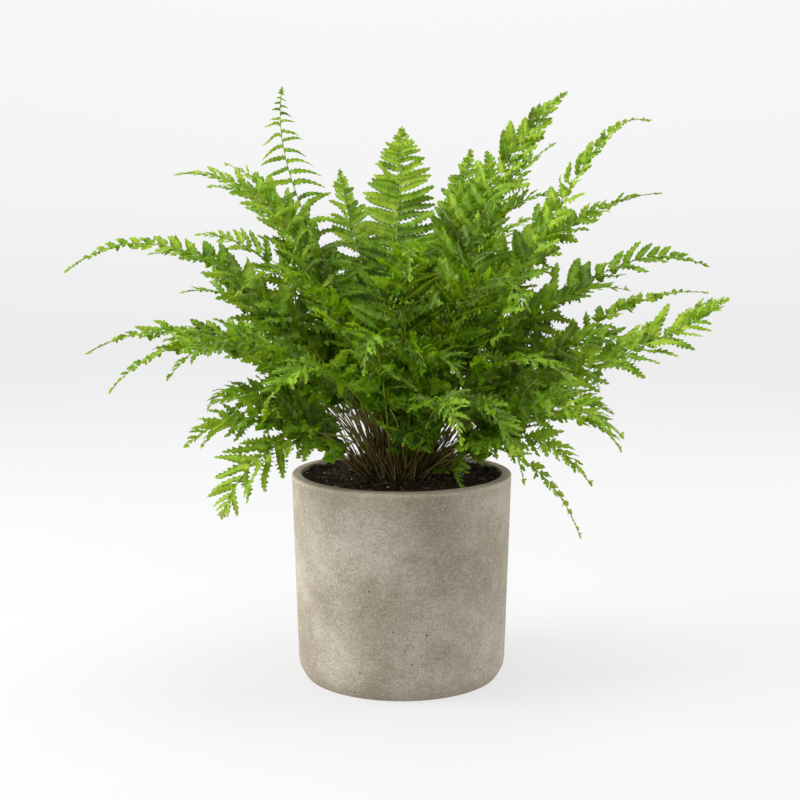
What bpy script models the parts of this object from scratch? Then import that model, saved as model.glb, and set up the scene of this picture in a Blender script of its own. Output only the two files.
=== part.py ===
"""A Korean rock fern in a cylindrical concrete pot: pot, soil, the fern's crown and its fronds.

Metres, +Z up. The origin is the centre of the pot's underside, -Y is the side the plant is seen from.
Run with: blender --background --python part.py
"""

import math
import random
from dataclasses import dataclass

import bmesh
import bpy
import numpy as np
from mathutils.bvhtree import BVHTree

MM = 0.001
FIT_GAP = 0.3 * MM  # what touching pieces leave between them

# Pot
POT_HEIGHT = 159 * MM
RIM_RADIUS = 85 * MM
WALL = 8 * MM
FOOT_RADIUS = 80.8 * MM  # outside, where the foot's bevel starts
SOLE_RADIUS = 75 * MM  # the flat that stands on the table
FOOT_BEVEL_HEIGHT = 11 * MM
FLOOR_THICKNESS = 12 * MM
RIM_BEVEL = 2 * MM
SOLE_BEVEL = 1.8 * MM
POT_SIDES = 36

# Soil and crown
SOIL_TOP = POT_HEIGHT - 5 * MM
CROWN_RADIUS = 37 * MM
CROWN_DEPTH = 12 * MM  # below the soil
CROWN_RISE = 8 * MM  # above the soil, at its middle
CROWN_BOTTOM = 0.8  # its underside's radius as a share of its own
CROWN_RINGS = (0.97, 0.75, 0.45)  # where its dome's facets meet
CROWN_SIDES = 16
SLOT_RADIUS = 33 * MM  # the stalks stand inside this
OUTER_SLOTS = 1.5  # the higher it is, the steeper a stalk that still stands at the crown's edge
HOLE_DEPTH = 7 * MM
HOLE_LEAD = 6 * MM  # how far a hole's cutter stands out of the crown
GOLDEN_ANGLE = math.radians(137.508)

# Fronds
PAIRS = 9  # leaflets on each side of a blade
PLAIN_PAIRS = 3  # those next to the blade's tip, which are plain points
CROWDING = 1.12  # over 1, leaflets stand closer towards the blade's tip
BLADE_THICKNESS = 0.6 * MM
STALK_STATIONS = 3
STALK_HALF = 0.9 * MM  # half the stalk's width at its foot
RIB_HALF = 0.5 * MM  # half the rib's width near the blade's tip
NARROWING = 0.2  # how much shorter the first leaflets are than the longest
NARROW_TO = 0.15  # the share of the blade over which they grow to it
START_SHARE = 0.4  # share of its droop by which a leaflet starts out above the blade
HOOK = 0.12  # how far a leaflet curves forward, as a share of its length
LEAFLET_FILL = 0.86  # leaflet width over the distance to the next one
WIDEST = 0.34  # how far out a leaflet is widest, as a share of its length
STUBBIEST = 0.26  # a leaflet's half width over its length is no more than this

# What is tried, in this order, to keep a frond and its leaflets clear of the others
CLEARANCE = 0.3 * MM
TEST_STATIONS = 30
TURNS = (0, 3, -3, 6, -6, 9, -9, 12, -12, 16, -16, 20, -20, 25, -25, 30, -30)
LAUNCH_SHIFTS = (0, 3, -3, 6, -6, 9, -9, 13, -13)
LIFTS = (0, 12, -12, 24, -24, 36, -36, 50, -50)
SIZES = (1.0, 0.75, 0.5, 0.3)
FAN_SEED = 7


@dataclass
class Frond:
    """One frond. Its tip and its longest leaflet, width, are in millimetres, and its angles in degrees.

    It leaves the crown at the launch angle above the horizontal and ends at the arrive angle, with most of
    its bend beyond the share bend_at. roll turns the blade's face about its rib, tilt turns each leaflet
    about its own, and droop is how far a leaflet arches down. A high fullness keeps the blade wide almost
    to its tip. bare is the stalk's share of the length. lean is how far a leaflet points forward at the
    foot of the blade, and lean_gain how much more at its tip.
    """

    tip: tuple
    launch: float
    arrive: float
    width: float = 36
    roll: float = 0
    tilt: float = 15
    droop: float = 35
    fullness: float = 2.2
    bare: float = 0.3
    bend_at: float = 0.56
    lean: float = 18
    lean_gain: float = 28


# The fronds that make the plant's outline, clockwise from the lower left as seen from the front.
OUTLINE_FRONDS = (
    Frond((-129, -90, 142), 62, -74, width=38, roll=-20, droop=10, tilt=0, fullness=2.8, bare=0.42),
    Frond((-153, -100, 196), 46, -38, width=34, roll=-30),
    Frond((-140, -40, 218), 50, -30, width=34, roll=-35),
    Frond((-159, -130, 247), 58, -52, width=34, roll=-25),
    Frond((-205, -100, 234), 58, -52, width=34, roll=-20, fullness=1.3),
    Frond((-231, -50, 256), 54, -32, width=34, roll=-30, fullness=1.3),
    Frond((-252, -20, 314), 65, -40, width=34, roll=-35, fullness=1.3),
    Frond((-172, 20, 296), 58, -15, roll=-35),
    Frond((-200, 40, 325), 57, -12, width=33, roll=-25, fullness=1.8),
    Frond((-165, 60, 340), 64, -5, roll=-45),
    Frond((-179, 50, 387), 69, -10, roll=-35),
    Frond((-148, 120, 398), 70, 15, roll=-30),
    Frond((-92, 30, 453), 74, 100, roll=-75, tilt=22, droop=45, fullness=3, bare=0.4, lean=8, lean_gain=10),
    Frond((-50, 80, 392), 82, 80, width=34, roll=-5, droop=20, tilt=0, fullness=4, lean_gain=12),
    Frond((0, 70, 425), 84, 86, width=36, droop=10, tilt=0, fullness=5, lean_gain=10),
    Frond((56, 80, 408), 80, 74, width=30, roll=10, droop=20, tilt=0, fullness=4, lean_gain=12),
    Frond((126, 20, 449), 78, 40, width=38, roll=60, droop=25, fullness=3),
    Frond((183, -20, 425), 60, -25, width=34, roll=45, fullness=1.6, bend_at=0.82),
    Frond((160, 80, 352), 66, 0, roll=40),
    Frond((207, 60, 373), 63, 2, width=34, roll=35, fullness=1.5),
    Frond((240, 30, 316), 56, -24, width=36, roll=30),
    Frond((255, 100, 291), 46, -8, width=28, roll=25, fullness=1.2),
    Frond((187, -30, 262), 52, -20, roll=35),
    Frond((236, -60, 297), 49, 38, width=36, roll=35, fullness=5),
    Frond((149, 20, 221), 47, -24, roll=30),
    Frond((157, -40, 210), 46, -34, roll=35),
    Frond((151, -130, 207), 48, -37, roll=25),
    Frond((131, -120, 172), 50, -52, width=30, roll=20),
    Frond((128, -90, 128), 56, -70, width=16, roll=20, fullness=1.3),
    Frond((81, -160, 181), 62, -76, width=28),
    Frond((48, -62, 170), 30, -8, width=10, tilt=0, droop=5, bare=0.4),
    Frond((-180, -20, 262), 54, -25, roll=-30),
    Frond((112, 80, 412), 78, 30, width=34, roll=40),
    Frond((172, -10, 300), 58, -15, roll=35),
    Frond((-156, 70, 378), 66, -5, roll=-45),
    Frond((118, 0, 373), 70, 0, roll=40),
)

# The rest fill the plant in fans: count, first and last bearing, reach, tip height, launch, arrive, bare.
FANS = (
    (2, -172, -140, 160, 206, 42, -52, 0.25),
    (2, -35, 5, 165, 202, 42, -52, 0.22),
    (3, -108, -60, 105, 246, 70, -60, 0.3),
    (2, -140, -95, 178, 238, 64, -50, 0.36),
    (2, -85, -40, 185, 228, 60, -55, 0.2),
    (3, -150, -30, 155, 305, 71, -42, 0.22),
    (4, 25, 155, 215, 240, 56, -38, 0.25),
    (3, 35, 145, 190, 335, 68, -8, 0.25),
)
FAN_WIDTH = 38


def unit(v):
    return v / np.linalg.norm(v)


def slope(ahead, degrees):
    """Unit vector the given angle above a horizontal one."""
    return ahead * math.cos(math.radians(degrees)) + np.array([0, 0, math.sin(math.radians(degrees))])


def rotated(v, axis, degrees):
    """v turned about a unit axis."""
    c, s = math.cos(math.radians(degrees)), math.sin(math.radians(degrees))
    return v * c + np.cross(axis, v) * s + axis * (axis @ v) * (1 - c)


def fan_fronds():
    """The fronds of FANS, each a little off its even place."""
    draw = random.Random(FAN_SEED)
    fronds = []
    for count, start, stop, reach, height, launch, arrive, bare in FANS:
        for i in range(count):
            bearing = math.radians(start + (stop - start) * (i + 0.5) / count + draw.uniform(-6, 6))
            r = reach * draw.uniform(0.9, 1.1)
            tip = (r * math.cos(bearing), r * math.sin(bearing), height + draw.uniform(-18, 18))
            arriving = arrive + draw.uniform(-12, 12)
            turns = {"roll": draw.uniform(-25, 25), "tilt": draw.uniform(0, 24)}
            fronds.append(Frond(tip, launch, arriving, FAN_WIDTH, bare=bare, **turns))
    return fronds


def crown_slots(count):
    """Where the stalks stand on the crown, spiralling out from its middle as a fern's do."""
    k = np.arange(count) + 0.5
    r = SLOT_RADIUS * np.sqrt(k / count)
    return np.stack([r * np.cos(k * GOLDEN_ANGLE), r * np.sin(k * GOLDEN_ANGLE)], axis=1)


def crown_top(x, y):
    """Height of the crown's top over a point."""
    share = min(1.0, math.hypot(x, y) / CROWN_RADIUS)
    return SOIL_TOP + CROWN_RISE * (1 - share * share)


def stalk_feet(fronds):
    """Each frond's place on the crown: the free slot nearest to the side it leans to, the lowest first."""
    free = [tuple(p) for p in crown_slots(len(fronds))]
    feet = {}
    for i in sorted(range(len(fronds)), key=lambda i: fronds[i].launch):
        outward = min(1.0, OUTER_SLOTS * math.cos(math.radians(fronds[i].launch)))
        wanted = unit(np.array(fronds[i].tip[:2])) * SLOT_RADIUS * outward
        place = min(free, key=lambda p: math.hypot(p[0] - wanted[0], p[1] - wanted[1]))
        free.remove(place)
        feet[i] = np.array([*place, crown_top(*place)])
    return [feet[i] for i in range(len(fronds))]


class Shape:
    """The line of a frond's stalk and rib, and where each leaflet lies along it."""

    SAMPLES = 80

    def __init__(self, frond, foot, turn=0.0, launch_shift=0.0):
        self.frond = frond
        up = np.array([0, 0, 1.0])
        tip = foot + rotated(np.array(frond.tip) * MM - foot, up, turn)
        ahead = unit((tip - foot) * (1, 1, 0))
        self.launch_way = slope(ahead, frond.launch + launch_shift)
        arc = math.radians(max(abs(frond.launch - frond.arrive), 5))
        pull = 4 / 3 * math.tan(arc / 4) / math.sin(arc / 2) * np.linalg.norm(tip - foot)
        leaving = foot + pull * frond.bend_at * self.launch_way
        arriving = tip - pull * (1 - frond.bend_at) * slope(ahead, frond.arrive)
        corners = (foot, leaving, arriving, tip)
        t = np.linspace(0, 1, self.SAMPLES)[:, None]
        weights = ((1 - t) ** 3, 3 * (1 - t) ** 2 * t, 3 * (1 - t) * t**2, t**3)
        self.line = sum(w * c for w, c in zip(weights, corners))
        self.run = np.concatenate([[0], np.cumsum(np.linalg.norm(np.diff(self.line, axis=0), axis=1))])
        self.length = self.run[-1]
        self.across = np.cross(up, ahead)  # to the left of the way the frond leans

    def point(self, share):
        return np.array([np.interp(share * self.length, self.run, axis) for axis in self.line.T])

    def at(self, share):
        """Point, tangent, sideways and upper-face directions at a share of the whole length."""
        tangent = unit(self.point(min(share + 0.01, 1)) - self.point(max(share - 0.01, 0)))
        side = rotated(self.across, tangent, self.frond.roll)
        return self.point(share), tangent, side, np.cross(tangent, side)

    def share_of(self, u):
        """Share of the whole length at a share u of the leafy blade."""
        return self.frond.bare + (1 - self.frond.bare) * u

    def leaflet_length(self, u):
        base = 1 - NARROWING * (1 - min(1.0, u / NARROW_TO))
        return self.frond.width * MM * base * (1 - u**self.frond.fullness)

    def lean(self, u):
        """How far a leaflet points forward, in radians."""
        return math.radians(self.frond.lean + self.frond.lean_gain * u)

    def leaflet(self, u, hand, lift=0.0, size=1.0):
        """(place, frame) functions of the share of the way out along the leaflet at u.

        hand is 1 for a leaflet on the left and -1 for one on the right. lift raises it, in degrees.
        """
        point, tangent, side, face = self.at(self.share_of(u))
        out = side * hand * math.cos(self.lean(u)) + tangent * math.sin(self.lean(u))
        length = self.leaflet_length(u) * size
        bend = math.radians(max(self.frond.droop, 1.0))
        start = math.radians(lift + START_SHARE * self.frond.droop)

        def place(t):
            x = (math.sin(start) - math.sin(start - bend * t)) / bend
            z = (math.cos(start - bend * t) - math.cos(start)) / bend
            return point + length * (out * x + face * z + tangent * HOOK * t * t)

        def frame(t):
            way = unit(out * math.cos(start - bend * t) + face * math.sin(start - bend * t))
            edge = unit(tangent - way * (tangent @ way))
            turn = hand * self.frond.tilt
            return rotated(edge, way, turn), rotated(np.cross(edge, way) * hand, way, turn)

        return place, frame


def station(k):
    """Share of the blade at which leaflet k starts, counted from the stalk."""
    return 1 - (1 - k / (PAIRS + 0.5)) ** CROWDING


def rib_half(share):
    """Half the width of the stalk or rib at a share of the frond's length."""
    return STALK_HALF + (RIB_HALF - STALK_HALF) * share


def leaflet_corners(shape, k, hand, lift, size, thickness):
    """(upper, lower) corners round a leaflet's free edge: near bulge, tip and far bulge, or just the tip."""
    u = (station(k) + station(k + 1)) / 2
    place, frame = shape.leaflet(u, hand, lift, size)
    h = thickness / 2
    tip, tip_top = place(1.0), frame(1.0)[1]
    corners = [(tip + tip_top * h, tip - tip_top * h)]
    if k < PAIRS - PLAIN_PAIRS:
        edge, top = frame(WIDEST)
        spacing = shape.length * (1 - shape.frond.bare) * (station(k + 1) - station(k))
        length = shape.leaflet_length(u) * size
        half = edge * min(0.5 * LEAFLET_FILL * spacing * math.cos(shape.lean(u)), STUBBIEST * length)
        middle = place(WIDEST)
        corners.insert(0, (middle - half + top * h, middle - half - top * h))
        corners.append((middle + half + top * h, middle + half - top * h))
    return corners


def rib_corners(shape, share):
    """The rib's four corners: upper left, upper right, lower left, lower right."""
    point, _, side, face = shape.at(share)
    h = rib_half(share)
    return [point + (side * a + face * b) * h for a, b in ((1, 1), (-1, 1), (1, -1), (-1, -1))]


def leaflet_faces(edge):
    """Triangles of a leaflet from its edge: (upper, lower) vertex numbers from the near rib station on."""
    upper = [(0, 1, 2)] if len(edge) == 3 else [(0, 1, 3), (1, 2, 3), (0, 3, 4)]
    faces = [tuple(edge[i][0] for i in f) for f in upper]
    faces += [tuple(edge[i][1] for i in f[::-1]) for f in upper]
    for a, b in zip(edge[:-1], edge[1:]):
        faces += [(a[0], a[1], b[1]), (a[0], b[1], b[0])]
    return faces


def leaflet_test_mesh(shape, k, hand, lift, size):
    """A leaflet a little thicker than it is, to test for crossings."""
    n = 0 if hand > 0 else 1
    near = rib_corners(shape, shape.share_of(station(k)))
    far = rib_corners(shape, shape.share_of(station(k + 1)))
    corners = leaflet_corners(shape, k, hand, lift, size, BLADE_THICKNESS + 2 * CLEARANCE)
    edge = [(near[n], near[n + 2]), *corners, (far[n], far[n + 2])]
    return [p for pair in edge for p in pair], leaflet_faces([(2 * i, 2 * i + 1) for i in range(len(edge))])


def frond_mesh(shape, bends):
    """(points, triangles) of a frond as one closed solid: stalk, rib and leaflets cut to the rib."""
    stations = [shape.frond.bare * i / STALK_STATIONS for i in range(STALK_STATIONS)]
    stations += [shape.share_of(station(k)) for k in range(PAIRS + 1)]
    points = [p - shape.launch_way * HOLE_DEPTH for p in rib_corners(shape, 0)]
    for share in stations:
        points += rib_corners(shape, share)
    end, _, _, face = shape.at(1.0)
    points += [end + face * BLADE_THICKNESS / 2, end - face * BLADE_THICKNESS / 2]
    faces = [(0, 3, 1), (0, 2, 3)]
    last = len(stations)
    for i in range(last):
        ul, ur, ll, lr = range(4 * i, 4 * i + 4)
        vl, vr, wl, wr = range(4 * i + 4, 4 * i + 8)
        faces += [(ul, vr, vl), (ul, ur, vr), (ll, wl, wr), (ll, wr, lr)]
        k = i - STALK_STATIONS - 1
        if k < 0:
            faces += [(ul, wl, ll), (ul, vl, wl), (ur, wr, vr), (ur, lr, wr)]
            continue
        for hand, near, far in ((1, (ul, ll), (vl, wl)), (-1, (ur, lr), (vr, wr))):
            edge = [near]
            for pair in leaflet_corners(shape, k, hand, *bends[k, hand], BLADE_THICKNESS):
                edge.append((len(points), len(points) + 1))
                points += pair
            made = leaflet_faces([*edge, far])
            faces += made if hand < 0 else [f[::-1] for f in made]
    ul, ur, ll, lr = range(4 * last, 4 * last + 4)
    top, under = 4 * last + 4, 4 * last + 5
    faces += [(ul, ur, top), (ll, under, lr)]
    faces += [(ul, under, ll), (ul, top, under), (ur, under, top), (ur, lr, under)]
    return points, faces


class Obstacles:
    """Everything built so far, to keep the next frond clear of it."""

    def __init__(self):
        self.points, self.faces, self.tree = [], [], None

    def add(self, points, faces):
        first = len(self.points)
        self.points += [tuple(p) for p in points]
        self.faces += [tuple(first + i for i in f) for f in faces]
        self.tree = BVHTree.FromPolygons(self.points, self.faces)

    def hit(self, points, faces):
        return bool(self.tree.overlap(BVHTree.FromPolygons([tuple(p) for p in points], faces)))


def rib_test_mesh(shape):
    """The stalk and rib alone, a little fatter than they are, down to the foot of the hole."""
    points, faces = [], []
    for i, share in enumerate(np.linspace(0, 1, TEST_STATIONS)):
        point, _, side, face = shape.at(share)
        if i == 0:
            point = point - shape.launch_way * HOLE_DEPTH
        h = rib_half(share) + CLEARANCE
        points += [point + (side * a + face * b) * h for a, b in ((1, 1), (-1, 1), (-1, -1), (1, -1))]
        if i:
            for a in range(4):
                near, beside = 4 * i - 4 + a, 4 * i - 4 + (a + 1) % 4
                faces += [(near, beside, beside + 4), (near, beside + 4, near + 4)]
    return points, faces


def place_frond(frond, foot, obstacles):
    """The frond's shape and the bends of its leaflets, turned and bent clear of what is there already."""
    ways = [(turn, shift) for turn in TURNS for shift in LAUNCH_SHIFTS]
    clear = (w for w in ways if not obstacles.hit(*rib_test_mesh(Shape(frond, foot, *w))))
    shape = Shape(frond, foot, *next(clear, ways[0]))
    bends = {}
    for k in range(PAIRS):
        for hand in (1, -1):
            tries = [(lift, size) for size in SIZES for lift in LIFTS]
            clear = (b for b in tries if not obstacles.hit(*leaflet_test_mesh(shape, k, hand, *b)))
            bends[k, hand] = next(clear, tries[-1])
    return shape, bends


def new_object(name, points, faces, material):
    mesh = bpy.data.meshes.new(name)
    mesh.from_pydata([tuple(p) for p in points], [], faces)
    mesh.update()
    obj = bpy.data.objects.new(name, mesh)
    bpy.context.scene.collection.objects.link(obj)
    mesh.materials.append(material)
    return obj


def plain_material(name, colour, roughness):
    material = bpy.data.materials.new(name)
    material.use_nodes = True
    shader = material.node_tree.nodes["Principled BSDF"]
    shader.inputs["Base Color"].default_value = (*colour, 1)
    shader.inputs["Roughness"].default_value = roughness
    return material


def turned(name, profile, sides, material):
    """A closed solid of revolution from a profile of (radius, height) points that ends on the axis."""
    bm = bmesh.new()
    for r, z in profile:
        bm.verts.new((r, 0, z))
    bm.verts.ensure_lookup_table()
    edges = [bm.edges.new((a, b)) for a, b in zip(bm.verts[:-1], bm.verts[1:])]
    line = bm.verts[:] + edges
    bmesh.ops.spin(bm, geom=line, axis=(0, 0, 1), angle=math.tau, steps=sides, use_merge=True)
    bmesh.ops.remove_doubles(bm, verts=bm.verts, dist=0.01 * MM)
    bmesh.ops.recalc_face_normals(bm, faces=bm.faces)
    mesh = bpy.data.meshes.new(name)
    bm.to_mesh(mesh)
    bm.free()
    obj = bpy.data.objects.new(name, mesh)
    bpy.context.scene.collection.objects.link(obj)
    mesh.materials.append(material)
    mesh.shade_smooth()
    mesh.set_sharp_from_angle(angle=math.radians(35))
    return obj


def inner_radius(height):
    """Radius of the pot's inside, which tapers as its outside does."""
    taper = (RIM_RADIUS - FOOT_RADIUS) / (POT_HEIGHT - FOOT_BEVEL_HEIGHT)
    return RIM_RADIUS - WALL - taper * (POT_HEIGHT - height)


def make_pot():
    profile = (
        (0, 0),
        (SOLE_RADIUS, 0),
        (SOLE_RADIUS + SOLE_BEVEL, SOLE_BEVEL),
        (FOOT_RADIUS, FOOT_BEVEL_HEIGHT),
        (RIM_RADIUS, POT_HEIGHT - RIM_BEVEL),
        (RIM_RADIUS - RIM_BEVEL, POT_HEIGHT),
        (RIM_RADIUS - WALL, POT_HEIGHT),
        (inner_radius(FLOOR_THICKNESS), FLOOR_THICKNESS),
        (0, FLOOR_THICKNESS),
    )
    return turned("pot", profile, POT_SIDES, plain_material("concrete", (0.36, 0.33, 0.27), 0.85))


def make_soil():
    pocket = CROWN_RADIUS + FIT_GAP
    pocket_floor = SOIL_TOP - CROWN_DEPTH - FIT_GAP
    floor = FLOOR_THICKNESS + FIT_GAP
    profile = (
        (0, floor),
        (inner_radius(floor) - FIT_GAP, floor),
        (inner_radius(SOIL_TOP) - FIT_GAP, SOIL_TOP),
        (pocket, SOIL_TOP),
        (pocket, pocket_floor),
        (0, pocket_floor),
    )
    return turned("soil", profile, POT_SIDES, plain_material("potting_soil", (0.03, 0.02, 0.012), 0.95))


def make_crown(shapes):
    """The rootstock that the stalks grow from, with a plain hole for each."""
    bottom = SOIL_TOP - CROWN_DEPTH
    profile = [(0, bottom), (CROWN_RADIUS * CROWN_BOTTOM, bottom), (CROWN_RADIUS, SOIL_TOP)]
    profile += [(CROWN_RADIUS * share, crown_top(CROWN_RADIUS * share, 0)) for share in CROWN_RINGS]
    profile.append((0, SOIL_TOP + CROWN_RISE))
    crown = turned("crown", profile, CROWN_SIDES, plain_material("rootstock", (0.05, 0.025, 0.012), 0.9))
    cutters = bpy.data.collections.new("stalk_holes")
    bpy.context.scene.collection.children.link(cutters)
    for i, shape in enumerate(shapes):
        cutters.objects.link(hole_cutter(f"hole_{i + 1:02d}", shape))
    cut = crown.modifiers.new("stalk_holes", "BOOLEAN")
    cut.operation = "DIFFERENCE"
    cut.operand_type = "COLLECTION"
    cut.collection = cutters
    cut.solver = "EXACT"
    return crown


def hole_cutter(name, shape):
    """A square prism round the foot of a stalk, a little wider than it."""
    point, _, side, face = shape.at(0)
    h = STALK_HALF + FIT_GAP
    bottom = point - shape.launch_way * (HOLE_DEPTH + FIT_GAP)
    top = point + shape.launch_way * HOLE_LEAD
    corners = [(side * a + face * b) * h for a, b in ((1, 1), (-1, 1), (-1, -1), (1, -1))]
    mesh = bpy.data.meshes.new(name)
    sides = [(a, (a + 1) % 4, (a + 1) % 4 + 4, a + 4) for a in range(4)]
    points = [end + corner for end in (bottom, top) for corner in corners]
    mesh.from_pydata(points, [], [(3, 2, 1, 0), (4, 5, 6, 7), *sides])
    cutter = bpy.data.objects.new(name, mesh)
    cutter.hide_render = True
    cutter.display_type = "WIRE"
    return cutter


def mesh_of(obj):
    return [v.co[:] for v in obj.data.vertices], [tuple(p.vertices) for p in obj.data.polygons]


def main():
    for obj in list(bpy.data.objects):
        bpy.data.objects.remove(obj)
    green = plain_material("fern_green", (0.10, 0.27, 0.02), 0.55)
    obstacles = Obstacles()
    for solid in (make_pot(), make_soil()):
        obstacles.add(*mesh_of(solid))
    fronds = [*OUTLINE_FRONDS, *fan_fronds()]
    shapes = []
    for i, (frond, foot) in enumerate(zip(fronds, stalk_feet(fronds))):
        shape, bends = place_frond(frond, foot, obstacles)
        points, faces = frond_mesh(shape, bends)
        obstacles.add(points, faces)
        new_object(f"frond_{i + 1:02d}", points, faces, green)
        shapes.append(shape)
    make_crown(shapes)


main()
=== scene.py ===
"""Looks of a Korean rock fern in a cylindrical concrete pot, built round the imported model.

Metres, +Z up, the origin at the centre of the pot's underside, -Y towards the camera.
"""

import functools
import math
import random
from dataclasses import dataclass

import bpy
import numpy as np
from mathutils.kdtree import KDTree
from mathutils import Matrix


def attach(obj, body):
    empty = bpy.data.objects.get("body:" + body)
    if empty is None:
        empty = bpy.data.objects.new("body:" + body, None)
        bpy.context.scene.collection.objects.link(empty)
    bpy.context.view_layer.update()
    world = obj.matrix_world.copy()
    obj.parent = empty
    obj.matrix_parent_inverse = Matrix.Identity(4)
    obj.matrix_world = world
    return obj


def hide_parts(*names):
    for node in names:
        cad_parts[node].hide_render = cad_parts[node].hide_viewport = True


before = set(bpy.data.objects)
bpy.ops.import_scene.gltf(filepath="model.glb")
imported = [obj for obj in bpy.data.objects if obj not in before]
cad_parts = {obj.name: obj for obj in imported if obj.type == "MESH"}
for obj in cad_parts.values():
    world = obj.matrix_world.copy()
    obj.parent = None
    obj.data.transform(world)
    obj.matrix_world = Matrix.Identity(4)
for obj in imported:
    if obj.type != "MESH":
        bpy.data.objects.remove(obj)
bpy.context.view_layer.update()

MM = 0.001

# Sizes and rules that the source of the solids gives
POT_HEIGHT = 159 * MM
RIM_RADIUS = 85 * MM
WALL = 8 * MM
FOOT_RADIUS = 80.8 * MM
SOLE_RADIUS = 75 * MM
FOOT_BEVEL_HEIGHT = 11 * MM
FLOOR_THICKNESS = 12 * MM
SOIL_TOP = POT_HEIGHT - 5 * MM
CROWN_RADIUS = 37 * MM
CROWN_RISE = 8 * MM
SLOT_RADIUS = 33 * MM
OUTER_SLOTS = 1.5  # over 1, low fronds stand further out on the crown
HOLE_DEPTH = 7 * MM
GOLDEN_ANGLE = math.radians(137.508)
COARSE_PAIRS = 9
COARSE_CROWDING = 1.12
STALK_HALF = 0.9 * MM
RIB_HALF = 0.5 * MM
NARROWING = 0.2  # the lowest leaflets are shorter by this share
NARROW_TO = 0.15  # the share of the blade over which they are shorter
START_SHARE = 0.4  # the share of its droop by which a leaflet first rises
HOOK = 0.12  # how far a leaflet's tip leans towards the frond's tip, over its length
# Degrees by which a frond is turned and steepened, and degrees and shares by which a leaflet is lifted and
# shortened, in the order in which they are tried until it is clear of the fronds before it
TURNS = (0, 3, -3, 6, -6, 9, -9, 12, -12, 16, -16, 20, -20, 25, -25, 30, -30)
LAUNCH_SHIFTS = (0, 3, -3, 6, -6, 9, -9, 13, -13)
LIFTS = (0, 12, -12, 24, -24, 36, -36, 50, -50)
SIZES = (1.0, 0.75, 0.5, 0.3)
BLADE_THICKNESS = 0.6 * MM
FAN_SEED = 7

# How a packed frond is recognised
PROBES = (1, 4, 8)  # the leaflets at whose feet its line is compared
NEAR = 0.1 * MM

# Fine foliage
PINNA_SPACING = 8.7 * MM  # the mean distance between leaflets along a blade
CROWDING = 1.6  # over 1, leaflets stand closer towards the blade's tip
LOBE_SPACING = 3.6 * MM
PINNA_FILL = 1.2  # leaflet width over the distance to the next one, near the blade's tip
FOOT_FILL, FILL_FALL = 1.25, 0.3  # how much wider leaflets are at the blade's foot, and the fall to its tip
WIDEST_HALF = 0.22  # half the width over the length is no more than this, near the blade's tip
FOOT_WIDEST, WIDEST_FALL = 1.2, 0.25  # the same for the greatest width
TAIL_REACH = 3.0 * MM  # the leaflets next to the blade's tip are no shorter
LEAST_HALF = 1.2 * MM  # the shortest leaflets may be as wide as this on either side
LEAST_PAIRS = 7
RIGHT_SHIFT, LEFT_SHIFT = 0.25, -0.2  # how far a leaflet's foot is from the middle of its step, in steps
TWIST_SPREAD = 22  # how much the tips of leaflets are twisted at random, in degrees
LIFT_SPREAD = 11
# By how much the leaflets' length, width, droop and hook vary at random, as shares
REACH_RANGE, WIDTH_RANGE, DROOP_RANGE, HOOK_RANGE = (0.88, 1.06), (0.88, 1.12), (0.5, 1.9), (0.4, 1.7)
STALK_RADIUS = 0.75 * MM
TIP_RADIUS = 0.3 * MM
STALK_SIDES = 6
OLD_SEED = 91


@dataclass
class Frond:
    """One frond, with lengths in millimetres and angles in degrees."""

    tip: tuple
    launch: float  # how steeply it leaves the crown
    arrive: float  # how steeply it ends
    width: float = 36  # the length of its longest leaflets
    roll: float = 0  # how far its blade is turned about its rib
    tilt: float = 15  # how far its leaflets are twisted about their own length
    droop: float = 35  # how far its leaflets bend down
    fullness: float = 2.2  # the higher, the nearer to its tip its leaflets stay long
    bare: float = 0.3  # the share of its length below its leaflets
    bend_at: float = 0.56  # the higher, the nearer to its tip it bends
    lean: float = 18  # how far its leaflets lean towards its tip, at the blade's foot
    lean_gain: float = 28  # and how much more at its tip


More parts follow.
